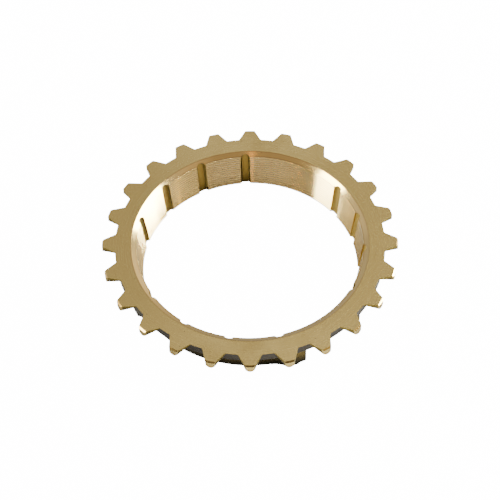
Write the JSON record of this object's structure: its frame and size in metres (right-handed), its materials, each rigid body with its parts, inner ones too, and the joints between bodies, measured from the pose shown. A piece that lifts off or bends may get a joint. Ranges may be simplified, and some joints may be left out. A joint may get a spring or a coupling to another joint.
{
  "type": "synchronizer ring",
  "caption": "Brass blocker ring with a grooved inner friction cone, an outer ring of pointed teeth and key slots, for a manual gearbox synchronizer.",
  "frame": {"origin": "on the ring's axis, in the plane of the hub-side edge that it stands on", "axes": "+Z along the axis towards the toothed face, +Y through the middle of one key slot"},
  "size_m": [0.0696, 0.0696, 0.0096],
  "materials": {
    "brass": "machined satin brass, a little dull, with a fine turned thread in the cone"
  },
  "bodies": {
    "root": {"synchronizer_ring": "brass"}
  },
  "joints": []
}
